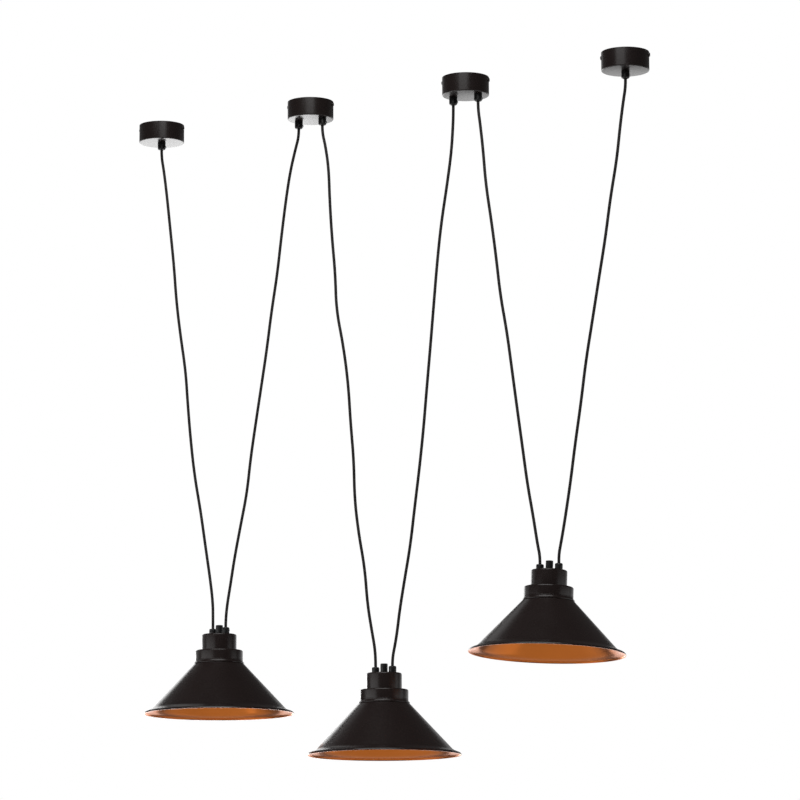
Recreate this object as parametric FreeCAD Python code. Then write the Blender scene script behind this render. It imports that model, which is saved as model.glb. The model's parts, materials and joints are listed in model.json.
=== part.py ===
import FreeCAD, Part
import os
from math import acos, cos, pi, radians, sin, sqrt, tan

# Three pendant lamps hung in a row. Four round canopies sit on the ceiling, and each lamp hangs
# on two cords, one to the canopy on its left and one to the canopy on its right. The power runs
# from canopy to lamp to canopy through the cords, so the two middle canopies hold two cords.
# Sizes are in millimetres. X runs along the row, from the first canopy to the last, and Z is up.
# The origin is on the ceiling, in the middle of the first canopy's bracket. The cords hang in
# the plane y = 0.

V = FreeCAD.Vector
AXIS_X = V(1, 0, 0)
AXIS_Y = V(0, 1, 0)
AXIS_Z = V(0, 0, 1)

# Ceiling canopies
canopy_x = [0.0, 320.5, 638.2, 949.5]
canopy_grip_count = [1, 2, 2, 1]
canopy_diameter = 80.0
canopy_height = 31.5
canopy_wall = 1.2
canopy_corner = 1.6
twin_grip_spacing = 49.5

# Bracket inside each canopy: a strap with its ends bent down
strap_width = 12.0
strap_thickness = 1.5
strap_bend = 3.0
ear_past_screw = 4.5
ear_gap = 0.3
bracket_turn = 16.0
ceiling_hole_spacing = 56.0
ceiling_hole_diameter = 4.6

# Screws that hold the canopy to its bracket, and the terminal block under the strap
side_screw_drop = 6.5
side_screw_diameter = 3.9
side_screw_head_diameter = 7.2
side_screw_head_height = 2.2
side_screw_grip = 4.0
screw_head_rounding = 0.6
screw_slot_width = 0.9
screw_slot_depth = 0.8
block_screw_diameter = 2.9
block_screw_head_diameter = 5.4
block_screw_head_height = 1.8
thread_clearance = 0.05
hole_clearance = 0.25
cut_overrun = 1.0
least_bend = 0.2

# Terminal block
pole_pitch = 8.0
pole_count = 2
block_end_wall = 5.0
block_width = 16.0
block_height = 12.0
block_wire_hole = 2.6
block_well_diameter = 3.4
block_well_depth = 5.0
block_well_spacing = 8.0
block_groove_width = 1.4
block_groove_depth = 4.0
single_block_offset = -13.0

# Cord and its grips
cord_diameter = 5.0
cord_clearance = 0.3
cord_bend_share = 0.45
core_diameter = 2.0
core_spacing = 2.3
core_straight = 3.0
core_in_block = 4.5
canopy_grip_diameter = 14.0
canopy_grip_length = 13.2
lamp_grip_diameter = 13.0
lamp_grip_length = 11.0
grip_edge = 2.2
bore_edge = 0.4
stem_diameter = 10.0
stem_length = 9.0
stem_clearance = 0.15
nut_across_flats = 14.0
nut_height = 3.0
clamp_screw_diameter = 4.0
clamp_screw_depth = 5.0
clamp_screw_proud = 1.0
clamp_screw_turn = 20.0
jacket_past_stem = 3.0

# Lamp head: a narrow upper housing, a wider lower housing and a flared washer on the shade
lamp_grip_spacing = 36.0
upper_diameter = 60.0
upper_height = 28.0
upper_corner = 2.6
lower_diameter = 82.0
lower_height = 16.5
lower_corner = 2.4
housing_wall = 1.2
washer_flare = 2.5
washer_land = 2.5
washer_height = 6.5
washer_flare_height = 3.2
washer_flare_bend = 4.0
washer_edge = 1.2
washer_edge_bend = 0.5
washer_top_edge = 0.5
washer_taper = 0.2
centre_cap_diameter = 12.5
centre_cap_height = 16.0
centre_cap_edge = 1.0
centre_cap_roof = 8.0

# Shade: a spun cone with a flat top plate and a turned-out lip
shade_diameter = 260.0
shade_height = 87.5
shade_wall = 1.0
washer_overhang = 1.0
shade_neck_bend = 2.5
shade_cone_diameter = 234.3
shade_lip_height = 7.8
shade_lip_fall = 4.7
shade_lip_bend = 3.0
shade_lip_edge = 4.0

# Lampholder with its threaded skirt, ceramic insert, screw shell and shade ring
skirt_diameter = 39.6
skirt_length = 26.0
skirt_wall = 2.2
shoulder_diameter = 46.0
shoulder_height = 2.5
holder_diameter = 43.0
holder_height = 34.0
holder_dome_height = 14.0
holder_dome_radius = 8.0
shoulder_edge = 0.6
skirt_edge = 0.8
boss_diameter = 18.0
boss_height = 6.0
boss_depth = 10.0
boss_edge = 1.0
boss_foot_radius = 2.0
insert_clearance = 0.3
insert_top = 14.0
insert_roof = 6.0
insert_bottom = -24.5
insert_edge = 1.0
screw_shell_bore = 27.0
screw_shell_wall = 0.8
screw_shell_flange_bore = 18.0
screw_shell_bend = 1.0
screw_shell_recess = 1.0
contact_diameter = 9.0
contact_thickness = 0.8
contact_edge = 0.3
contact_rivet = 2.8
contact_rivet_head = 5.0
contact_rivet_head_height = 1.0
contact_rivet_head_edge = 0.5
lead_hole_offset = 13.0
lead_hole_diameter = 6.8
lead_pocket_diameter = 4.8
lead_pocket_depth = 4.0
lead_bend = 6.0
nipple_bore = 7.0
nipple_in_boss = 8.0
ring_flange_diameter = 57.0
ring_flange_height = 3.5
ring_collar_diameter = 47.0
ring_height = 7.0
ring_top_edge = 0.5
ring_edge = 0.8
ring_notch_count = 12
ring_notch_radius = 2.4
ring_notch_offset = 1.0

# Where each lamp hangs: the middle of its two grips, how far the head is turned about the
# vertical, how far it leans along the row and how far it is tipped about its two grips
lamps = {
    "a": {"x": 130.3, "z": -912.3, "turn": -17.0, "lean": 0.0, "tip": 0.0},
    "b": {"x": 469.7, "z": -997.9, "turn": -5.0, "lean": 0.0, "tip": 0.0},
    "c": {"x": 794.2, "z": -845.7, "turn": 0.0, "lean": 1.04, "tip": -2.36},
}

# Cords, each named for its canopy and its lamp, with the hand-laid points that it passes between
# the short straight exits from their two grips
cord_exit = 13.8
cords = {
    "cord_1_a": [
        (4.5, 0.0, -82.0), (11.5, 0.0, -128.0), (20.5, 0.0, -195.0), (28.5, 0.0, -262.0),
        (35.0, 0.0, -325.0), (44.5, 0.0, -388.0), (55.0, 0.0, -452.0), (60.5, 0.0, -512.0),
        (67.0, 0.5, -574.0), (75.5, 1.2, -640.0), (88.0, 2.2, -705.0), (97.5, 3.2, -765.0),
        (106.5, 4.2, -822.0), (112.5, 4.9, -866.0)],
    "cord_2_a": [
        (289.5, 0.0, -79.0), (278.0, 0.0, -120.0), (269.0, 0.0, -170.0), (259.0, 0.0, -235.0),
        (250.5, 0.0, -300.0), (239.0, 0.0, -365.0), (228.5, 0.0, -430.0), (217.0, 0.0, -497.0),
        (205.5, -0.3, -562.0), (196.0, -0.8, -622.0), (188.5, -1.7, -680.0), (176.0, -2.7, -738.0),
        (164.0, -3.8, -795.0), (156.5, -4.6, -840.0), (151.0, -5.1, -872.0)],
    "cord_2_b": [
        (351.0, 0.0, -81.0), (358.0, 0.0, -124.0), (361.0, 0.0, -180.0), (365.5, 0.0, -245.0),
        (371.5, 0.0, -312.0), (375.5, 0.0, -375.0), (388.0, 0.0, -440.0), (397.5, 0.0, -508.0),
        (403.0, 0.0, -575.0), (409.0, 0.0, -640.0), (412.0, 0.0, -708.0), (419.5, 0.3, -768.0),
        (430.5, 0.7, -828.0), (437.0, 1.1, -890.0), (445.0, 1.4, -936.0), (450.0, 1.5, -963.0)],
    "cord_3_b": [
        (612.5, 0.0, -82.0), (608.5, 0.0, -127.0), (599.5, 0.0, -185.0), (588.0, 0.0, -250.0),
        (579.5, 0.0, -318.0), (572.0, 0.0, -388.0), (565.0, 0.0, -458.0), (557.5, 0.0, -528.0),
        (550.5, 0.0, -598.0), (542.0, 0.0, -665.0), (532.0, 0.0, -732.0), (523.5, -0.3, -795.0),
        (512.0, -0.8, -855.0), (502.5, -1.2, -905.0), (497.5, -1.4, -938.0), (493.0, -1.6, -962.0)],
    "cord_3_c": [
        (666.5, 0.0, -82.0), (672.0, 0.0, -128.0), (677.5, 0.0, -190.0), (687.5, 0.0, -255.0),
        (696.5, 0.0, -320.0), (704.5, 0.0, -385.0), (716.0, 0.0, -450.0), (726.0, 0.0, -518.0),
        (735.5, 0.0, -585.0), (745.0, 0.0, -650.0), (754.0, 0.0, -710.0), (763.5, 0.0, -762.0),
        (769.0, 0.0, -795.0), (773.0, 0.0, -815.0)],
    "cord_4_c": [
        (945.5, 0.0, -81.0), (938.0, 0.0, -125.0), (930.5, 0.0, -180.0), (918.5, 0.0, -243.0),
        (907.0, 0.0, -310.0), (894.0, 0.0, -378.0), (880.5, 0.0, -446.0), (868.0, 0.0, -514.0),
        (857.5, 0.0, -582.0), (846.0, 0.0, -650.0), (836.0, 0.0, -712.0), (826.5, 0.0, -764.0),
        (820.0, 0.0, -797.0), (815.5, 0.0, -817.0)],
}

# Radii and heights that follow from the sizes above
canopy_radius = canopy_diameter / 2
cord_radius = cord_diameter / 2
bore_radius = cord_radius + cord_clearance
stem_radius = stem_diameter / 2
stem_hole_radius = stem_radius + stem_clearance
lamp_plate_z = -lamp_grip_length
lower_top_z = lamp_plate_z - upper_height
washer_top_z = lower_top_z - lower_height
shade_top_z = washer_top_z - washer_height
washer_radius = lower_diameter / 2 + washer_flare
canopy_mouth_z = -canopy_height - canopy_grip_length
block_length = pole_pitch * (pole_count - 1) + 2 * block_end_wall
ear_length = side_screw_drop + ear_past_screw
ear_face = sqrt((canopy_radius - canopy_wall - ear_gap) ** 2 - (strap_width / 2) ** 2)
skirt_bore_radius = skirt_diameter / 2 - skirt_wall
insert_radius = skirt_bore_radius - insert_clearance
screw_shell_radius = screw_shell_bore / 2 + screw_shell_wall


def rounded_edges(points, radii, closed):
    """Straight lines from point to point, with a tangent arc at each corner that has a radius."""
    count = len(points)
    enter, leave, arcs = [], [], []
    for i, point in enumerate(points):
        inner = closed or 0 < i < count - 1
        if not inner or radii[i] <= 0:
            enter.append(point)
            leave.append(point)
            arcs.append(None)
            continue
        before = (point - points[i - 1]).normalize()
        after = (points[(i + 1) % count] - point).normalize()
        half_turn = acos(max(-1.0, min(1.0, before.dot(after)))) / 2
        reach = radii[i] * tan(half_turn)
        inward = (after - before).normalize()
        enter.append(point - before * reach)
        leave.append(point + after * reach)
        arcs.append(point + inward * (radii[i] / cos(half_turn) - radii[i]))
    edges = []
    for i in range(count if closed else count - 1):
        follower = (i + 1) % count
        if (enter[follower] - leave[i]).Length > 1e-6:
            edges.append(Part.LineSegment(leave[i], enter[follower]).toShape())
        if arcs[follower] is not None:
            edges.append(Part.Arc(enter[follower], arcs[follower], leave[follower]).toShape())
    return edges


def outline_face(corners):
    """Face in the plane y = 0 from corners (x, z) or (x, z, radius)."""
    points = [V(corner[0], 0, corner[1]) for corner in corners]
    radii = [corner[2] if len(corner) > 2 else 0 for corner in corners]
    return Part.Face(Part.Wire(rounded_edges(points, radii, True)))


def turned(corners):
    """Solid of revolution about the Z axis from an outline of corners."""
    return outline_face(corners).revolve(V(0, 0, 0), AXIS_Z, 360)


def sheet_outline(path, wall, side):
    """Closed outline of bent or spun sheet: the path is one face of the sheet, and the other lies
    a wall's thickness to its left (side 1) or right (side -1). Bend radii keep the wall even."""
    points = [V(corner[0], 0, corner[1]) for corner in path]
    radii = [corner[2] if len(corner) > 2 else 0 for corner in path]
    steps = [(b - a).normalize() for a, b in zip(points, points[1:])]
    normals = [V(-step.z, 0, step.x) * side for step in steps]
    back = []
    for i, point in enumerate(points):
        first = normals[max(i - 1, 0)]
        second = normals[min(i, len(normals) - 1)]
        moved = point + (first + second) * (wall / (1 + first.dot(second)))
        radius = radii[i]
        if radius > 0:
            bends_towards = steps[i].dot(first) > 0
            radius = max(radius - wall, least_bend) if bends_towards else radius + wall
        back.append((moved.x, moved.z, radius))
    return list(path) + back[::-1]


def rod(radius, start, end):
    """Straight round rod between two points."""
    direction = end - start
    return Part.makeCylinder(radius, direction.Length, start, direction)


def path_radii(points):
    """Largest tangent arc that each corner of a path has room for."""
    radii = [0]
    for a, b, c in zip(points, points[1:], points[2:]):
        before, after = b - a, c - b
        shorter = min(before.Length, after.Length)
        half_turn = before.getAngle(after) / 2
        radii.append(cord_bend_share * shorter / tan(half_turn))
    return radii + [0]


def tube(points, radius):
    """Round tube along straight runs joined by tangent arcs, and the length of its middle line."""
    radii = path_radii(points)
    path = Part.Wire(rounded_edges(points, radii, False))
    start = Part.Wire(Part.makeCircle(radius, points[0], points[1] - points[0]))
    return path.makePipeShell([start], True, False), path.Length, radii[1:-1]


def turn_about_z(shape, angle):
    shape.rotate(V(0, 0, 0), AXIS_Z, angle)
    return shape


def hex_nut(hole_radius, top_z):
    """Hexagonal nut under the plane z = top_z, its flats square to Y."""
    corner_radius = nut_across_flats / 2 / cos(radians(30))
    corners = [V(corner_radius * cos(radians(60 * i)), corner_radius * sin(radians(60 * i)),
                 top_z - nut_height) for i in range(7)]
    body = Part.Face(Part.makePolygon(corners)).extrude(V(0, 0, nut_height))
    hole = rod(hole_radius, V(0, 0, top_z - nut_height - cut_overrun),
               V(0, 0, top_z + cut_overrun))
    return body.cut(hole)


def slotted(body, end_height, diameter):
    """Cuts a driver slot across the end of a screw that points up Z."""
    slot = Part.makeBox(2 * diameter, screw_slot_width, 2 * screw_slot_depth, V(
        -diameter, -screw_slot_width / 2, end_height - screw_slot_depth))
    return body.cut(slot)


def cord_grip(diameter, length):
    """Grip with its plate seat at z = 0, its mouth up at z = length and its stem below."""
    grip_radius = diameter / 2
    body = turned([
        (bore_radius, length, bore_edge), (grip_radius, length, grip_edge), (grip_radius, 0),
        (stem_radius, 0), (stem_radius, -stem_length), (bore_radius, -stem_length)])
    height = length - clamp_screw_depth
    hole = rod(clamp_screw_diameter / 2 + thread_clearance, V(0, 0, height),
               V(grip_radius + cut_overrun, 0, height))
    return body.cut(hole)


def clamp_screw(diameter, length):
    """Grub screw of a grip, pressing on the cord's jacket and standing a little proud."""
    outer = diameter / 2 + clamp_screw_proud
    body = rod(clamp_screw_diameter / 2, V(0, 0, cord_radius + thread_clearance), V(0, 0, outer))
    body = slotted(body, outer, clamp_screw_diameter)
    body.rotate(V(0, 0, 0), AXIS_Y, 90)
    return body.translated(V(0, 0, length - clamp_screw_depth))


def grip_places(canopy):
    """X of each grip of a canopy, measured from the canopy's middle."""
    if canopy_grip_count[canopy - 1] == 1:
        return [0.0]
    return [-twin_grip_spacing / 2, twin_grip_spacing / 2]


def under_canopy(shape, canopy, place):
    """Turns a grip's part mouth down and puts it on the underside of a canopy."""
    placed = shape.copy()
    placed.rotate(V(0, 0, 0), AXIS_X, 180)
    placed.translate(V(canopy_x[canopy - 1] + place, 0, -canopy_height))
    return placed


def on_bracket(shape, canopy):
    """Turns a part with its canopy's bracket and puts it in its place in the row."""
    placed = turn_about_z(shape.copy(), bracket_turn)
    placed.translate(V(canopy_x[canopy - 1], 0, 0))
    return placed


def canopy_cup(canopy):
    """Spun cup, open against the ceiling, with holes for its grips and side screws."""
    cup = turned(sheet_outline(
        [(canopy_radius, 0), (canopy_radius, -canopy_height, canopy_corner), (0, -canopy_height)],
        canopy_wall, -1))
    screw_hole = rod(side_screw_diameter / 2 + hole_clearance,
                     V(-canopy_radius - cut_overrun, 0, -side_screw_drop),
                     V(canopy_radius + cut_overrun, 0, -side_screw_drop))
    cup = cup.cut(turn_about_z(screw_hole, bracket_turn))
    for place in grip_places(canopy):
        cup = cup.cut(rod(stem_hole_radius, V(place, 0, -canopy_height - cut_overrun),
                          V(place, 0, -canopy_wall)))
    cup.translate(V(canopy_x[canopy - 1], 0, 0))
    return cup


def block_offset(canopy):
    """A block hangs under the middle of the strap, or beside the grip of a single canopy."""
    return single_block_offset if canopy_grip_count[canopy - 1] == 1 else 0.0


def ceiling_bracket(canopy):
    """Strap with two ceiling holes and a tapped ear at each end."""
    strap = outline_face(sheet_outline(
        [(-ear_face, -ear_length), (-ear_face, 0, strap_bend), (ear_face, 0, strap_bend),
         (ear_face, -ear_length)], strap_thickness, -1)).extrude(V(0, strap_width, 0))
    strap.translate(V(0, -strap_width / 2, 0))
    upright_holes = [(-ceiling_hole_spacing / 2, ceiling_hole_diameter / 2),
                     (ceiling_hole_spacing / 2, ceiling_hole_diameter / 2),
                     (block_offset(canopy), block_screw_diameter / 2 + thread_clearance)]
    for x, radius in upright_holes:
        strap = strap.cut(rod(radius, V(x, 0, -strap_thickness - cut_overrun),
                              V(x, 0, cut_overrun)))
    strap = strap.cut(rod(side_screw_diameter / 2 + thread_clearance,
                          V(-canopy_radius, 0, -side_screw_drop),
                          V(canopy_radius, 0, -side_screw_drop)))
    return on_bracket(strap, canopy)


def screw(diameter, head_diameter, head_height, length):
    """Round-headed slotted screw along Z, its head's underside at z = 0 and its shank below."""
    head_radius = head_diameter / 2
    body = turned([
        (0, head_height), (head_radius, head_height, head_height * screw_head_rounding),
        (head_radius, 0), (diameter / 2, 0), (diameter / 2, -length), (0, -length)])
    return slotted(body, head_height, head_diameter)


def canopy_screws(canopy):
    """Two side screws through the cup into the ears, and one that holds the terminal block."""
    found = []
    reach = canopy_radius - ear_face + strap_thickness + side_screw_grip
    for angle in (90, -90):
        side = screw(side_screw_diameter, side_screw_head_diameter, side_screw_head_height, reach)
        side.translate(V(0, 0, canopy_radius))
        side.rotate(V(0, 0, 0), AXIS_Y, angle)
        side.translate(V(0, 0, -side_screw_drop))
        found.append(on_bracket(side, canopy))
    length = block_height + strap_thickness - thread_clearance
    fixing = screw(block_screw_diameter, block_screw_head_diameter, block_screw_head_height, length)
    fixing.rotate(V(0, 0, 0), AXIS_X, 180)
    fixing.translate(V(block_offset(canopy), 0, -strap_thickness - block_height))
    found.append(on_bracket(fixing, canopy))
    return found


def pole_places():
    """Y of each pole's wire hole in the terminal block."""
    return [pole_pitch * (i - (pole_count - 1) / 2) for i in range(pole_count)]


def wire_height():
    return -strap_thickness - block_height / 2


def terminal_block(canopy):
    """Two-pole block under the strap, with wire holes through it and screw wells from below."""
    bottom = -strap_thickness - block_height
    offset = block_offset(canopy)
    block = Part.makeBox(block_width, block_length, block_height,
                         V(offset - block_width / 2, -block_length / 2, bottom))
    block = block.cut(Part.makeBox(block_width, block_groove_width, block_groove_depth, V(
        offset - block_width / 2, -block_groove_width / 2, bottom)))
    block = block.cut(rod(block_screw_diameter / 2 + hole_clearance, V(offset, 0, bottom - cut_overrun),
                          V(offset, 0, 0)))
    for y in pole_places():
        block = block.cut(rod(block_wire_hole / 2, V(offset - block_width, y, wire_height()),
                              V(offset + block_width, y, wire_height())))
        for x in (-block_well_spacing / 2, block_well_spacing / 2):
            block = block.cut(rod(block_well_diameter / 2, V(offset + x, y, bottom - cut_overrun),
                                  V(offset + x, y, bottom + block_well_depth)))
    return on_bracket(block, canopy)


def canopy_cord_end(canopy, place):
    """Jacket in a canopy grip's bore and its two cores, bent over into the terminal block."""
    middle = V(canopy_x[canopy - 1] + place, 0, 0)
    jacket_top = -canopy_height + stem_length + jacket_past_stem
    jacket_bottom = canopy_mouth_z + cord_radius + cord_clearance
    cord_end = rod(cord_radius, middle + V(0, 0, jacket_bottom), middle + V(0, 0, jacket_top))
    turn = FreeCAD.Rotation(AXIS_Z, bracket_turn)
    towards_block = 1 if place < 0 else -1
    face = block_offset(canopy) - towards_block * block_width / 2
    for i, y in enumerate(pole_places()):
        start = middle + V(0, (i - 0.5) * core_spacing, jacket_top)
        at_block = [V(face - towards_block * core_straight, y, wire_height()),
                    V(face + towards_block * core_in_block, y, wire_height())]
        route = [start, start + V(0, 0, core_straight)]
        route += [turn.multVec(point) + V(canopy_x[canopy - 1], 0, 0) for point in at_block]
        cord_end = cord_end.fuse(tube(route, core_diameter / 2)[0])
    return cord_end


def lamp_placement(name):
    lamp = lamps[name]
    turn = FreeCAD.Rotation(AXIS_Z, lamp["turn"])
    lean = FreeCAD.Rotation(AXIS_Y, lamp["lean"])
    tip = FreeCAD.Rotation(AXIS_X, lamp["tip"])
    return FreeCAD.Placement(V(lamp["x"], 0, lamp["z"]), turn.multiply(lean).multiply(tip))


# The lamp's parts are drawn with the line through its two grip mouths on the X axis.

def upper_housing():
    """Cup that takes the grips and the centre nipple through its top."""
    radius = upper_diameter / 2
    cup = turned(sheet_outline(
        [(0, lamp_plate_z), (radius, lamp_plate_z, upper_corner), (radius, lower_top_z)],
        housing_wall, -1))
    for x in (-lamp_grip_spacing / 2, 0, lamp_grip_spacing / 2):
        cup = cup.cut(rod(stem_hole_radius, V(x, 0, lamp_plate_z - housing_wall - cut_overrun),
                          V(x, 0, lamp_plate_z + cut_overrun)))
    return cup


def lower_housing():
    """Wider cup under the upper one, with a large hole that the lampholder passes."""
    radius = lower_diameter / 2
    opening = shoulder_diameter / 2 + hole_clearance
    return turned(sheet_outline(
        [(opening, lower_top_z), (radius, lower_top_z, lower_corner), (radius, washer_top_z)],
        housing_wall, -1))


def shade_washer():
    """Ring between the lower housing and the shade, flared at its foot."""
    top_radius = lower_diameter / 2
    bore = top_radius - washer_land
    return turned([
        (bore, washer_top_z), (top_radius, washer_top_z, washer_top_edge),
        (top_radius, shade_top_z + washer_flare_height, washer_flare_bend),
        (washer_radius, shade_top_z + washer_edge, washer_edge_bend),
        (washer_radius - washer_taper, shade_top_z), (bore, shade_top_z)])


def shade():
    """Cone spun from sheet, with a flat top plate, a turned-out lip and a short edge."""
    rim_z = shade_top_z - shade_height
    lip_z = rim_z + shade_lip_height
    radius = shade_diameter / 2
    return turned(sheet_outline(
        [(skirt_diameter / 2 + hole_clearance, shade_top_z),
         (washer_radius - washer_overhang, shade_top_z, shade_neck_bend),
         (shade_cone_diameter / 2, lip_z, shade_lip_bend),
         (radius, lip_z - shade_lip_fall, shade_lip_edge), (radius, rim_z)], shade_wall, -1))


def centre_cap():
    """Closed cap on the centre nipple."""
    radius = centre_cap_diameter / 2
    top = lamp_plate_z + centre_cap_height
    roof = top - centre_cap_roof
    bore = stem_radius + thread_clearance
    return turned([(0, top), (radius, top, centre_cap_edge), (radius, lamp_plate_z),
                   (bore, lamp_plate_z), (bore, roof), (0, roof)])


def fixings():
    """Centre nipple, the lock nuts of the nipple and both grips, and the grips' clamp screws."""
    nipple_top = lamp_plate_z + centre_cap_height - centre_cap_roof - cord_clearance
    nipple_bottom = shade_top_z + holder_height - nipple_in_boss
    nipple = rod(stem_radius, V(0, 0, nipple_bottom), V(0, 0, nipple_top))
    nipple = nipple.cut(rod(nipple_bore / 2, V(0, 0, nipple_bottom - cut_overrun),
                            V(0, 0, nipple_top + cut_overrun)))
    nut = hex_nut(stem_radius + thread_clearance, lamp_plate_z - housing_wall)
    grub = turn_about_z(clamp_screw(lamp_grip_diameter, lamp_grip_length), 90)
    grub.translate(V(0, 0, lamp_plate_z))
    found = [nipple, nut]
    for x in (-lamp_grip_spacing / 2, lamp_grip_spacing / 2):
        found += [nut.translated(V(x, 0, 0)), grub.translated(V(x, 0, 0))]
    return Part.makeCompound(found)


def lamp_grips():
    grip = turn_about_z(cord_grip(lamp_grip_diameter, lamp_grip_length), 90)
    grip.translate(V(0, 0, lamp_plate_z))
    return Part.makeCompound([grip.translated(V(x, 0, 0))
                              for x in (-lamp_grip_spacing / 2, lamp_grip_spacing / 2)])


def lampholder_shell():
    """Domed body with a threaded boss on top, a shoulder on the shade and a skirt through it."""
    top = shade_top_z + holder_height
    dome_z = top - boss_height
    foot_z = top - holder_dome_height
    roof_z = top - boss_depth
    shoulder_z = shade_top_z + shoulder_height
    skirt_radius = skirt_diameter / 2
    skirt_bottom = shade_top_z - skirt_length
    ceiling_z = shade_top_z + insert_top + insert_clearance
    bore = stem_radius + thread_clearance
    shell = turned([
        (bore, top), (boss_diameter / 2, top, boss_edge),
        (boss_diameter / 2, dome_z, boss_foot_radius),
        (holder_diameter / 2, foot_z, holder_dome_radius), (holder_diameter / 2, shoulder_z),
        (shoulder_diameter / 2, shoulder_z, shoulder_edge),
        (shoulder_diameter / 2, shade_top_z), (skirt_radius, shade_top_z),
        (skirt_radius, skirt_bottom, skirt_edge), (skirt_bore_radius, skirt_bottom),
        (skirt_bore_radius, ceiling_z), (bore, roof_z)])
    for x in (-lead_hole_offset, lead_hole_offset):
        shell = shell.cut(rod(lead_hole_diameter / 2, V(x, 0, ceiling_z), V(x, 0, top)))
    return shell


def lampholder_insert():
    """Ceramic cup round the screw shell, with a hole for the contact's rivet and two pockets
    that take the cores."""
    top = shade_top_z + insert_top
    roof = top - insert_roof
    bottom = shade_top_z + insert_bottom
    bore = screw_shell_radius + insert_clearance
    insert = turned([
        (contact_rivet / 2 + hole_clearance, top), (insert_radius, top, insert_edge),
        (insert_radius, bottom), (bore, bottom), (bore, roof),
        (contact_rivet / 2 + hole_clearance, roof)])
    for x in (-lead_hole_offset, lead_hole_offset):
        insert = insert.cut(rod(lead_pocket_diameter / 2, V(x, 0, top - lead_pocket_depth),
                                V(x, 0, top + cut_overrun)))
    return insert


def lampholder_contacts():
    """Brass screw shell with a turned-in flange, and the centre contact on its rivet."""
    roof = shade_top_z + insert_top - insert_roof
    bottom = shade_top_z + insert_bottom + screw_shell_recess
    shell = turned(sheet_outline(
        [(screw_shell_flange_bore / 2, roof), (screw_shell_radius, roof, screw_shell_bend),
         (screw_shell_radius, bottom)], screw_shell_wall, -1))
    top = shade_top_z + insert_top
    rivet_top = top + contact_rivet_head_height
    contact = turned([
        (0, roof - contact_thickness),
        (contact_diameter / 2, roof - contact_thickness, contact_edge),
        (contact_diameter / 2, roof), (contact_rivet / 2, roof), (contact_rivet / 2, top),
        (contact_rivet_head / 2, top), (contact_rivet_head / 2, rivet_top, contact_rivet_head_edge),
        (0, rivet_top)])
    return Part.makeCompound([shell, contact])


def shade_ring():
    """Notched ring on the skirt's thread, clamping the shade from below."""
    top = shade_top_z - shade_wall
    bore = skirt_diameter / 2 + stem_clearance
    ring = turned([
        (bore, top), (ring_flange_diameter / 2, top, ring_top_edge),
        (ring_flange_diameter / 2, top - ring_flange_height, ring_edge),
        (ring_collar_diameter / 2, top - ring_flange_height),
        (ring_collar_diameter / 2, top - ring_height, ring_edge), (bore, top - ring_height)])
    for i in range(ring_notch_count):
        place = ring_flange_diameter / 2 + ring_notch_offset
        notch = rod(ring_notch_radius, V(place, 0, top - ring_height - cut_overrun),
                    V(place, 0, top + cut_overrun))
        ring = ring.cut(turn_about_z(notch, 360 * i / ring_notch_count))
    return ring


def lamp_cord_ends():
    """Jackets in both grips, each with two cores down through the dome into the insert."""
    found = []
    jacket_bottom = lamp_plate_z - stem_length - jacket_past_stem
    jacket_top = -cord_radius - cord_clearance
    core_end = shade_top_z + insert_top - lead_pocket_depth + insert_clearance
    for side in (-1, 1):
        x = side * lamp_grip_spacing / 2
        cord_end = rod(cord_radius, V(x, 0, jacket_bottom), V(x, 0, jacket_top))
        for y in (-core_spacing / 2, core_spacing / 2):
            hole_x = side * lead_hole_offset
            bend_z = jacket_bottom - core_straight
            route = [V(x, y, jacket_bottom), V(x, y, bend_z),
                     V(hole_x, y, bend_z - lead_bend), V(hole_x, y, core_end)]
            cord_end = cord_end.fuse(tube(route, core_diameter / 2)[0])
        found.append(cord_end)
    return Part.makeCompound(found)


def cord(name, points):
    """Free cord with a ball end centred in the mouth of each grip, so that it can swing there. It
    leaves the canopy's grip on the lamp's side and enters the lamp's grip on the canopy's side."""
    canopy, lamp = int(name.split("_")[1]), name.split("_")[2]
    lamp_on_right = lamps[lamp]["x"] > canopy_x[canopy - 1]
    place = grip_places(canopy)[-1 if lamp_on_right else 0]
    top = V(canopy_x[canopy - 1] + place, 0, canopy_mouth_z)
    lamp_side = -1 if lamp_on_right else 1
    foot = lamp_placement(lamp).multVec(V(lamp_side * lamp_grip_spacing / 2, 0, 0))
    route = [top, top - V(0, 0, cord_exit)] + [V(*point) for point in points]
    route += [foot + V(0, 0, cord_exit), foot]
    body, length, radii = tube(route, cord_radius)
    section = pi * cord_radius ** 2
    print(f"{name}: length {length:.1f}, volume / (section x length) "
          f"{body.Volume / (section * length):.4f}, least radius {min(radii):.0f}, radii "
          + " ".join(f"{radius:.0f}" for radius in radii))
    top_ball = Part.makeSphere(cord_radius, top, AXIS_Z, 0, 90, 360)
    foot_ball = Part.makeSphere(cord_radius, foot, -AXIS_Z, 0, 90, 360)
    return body.fuse([top_ball, foot_ball])


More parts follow.
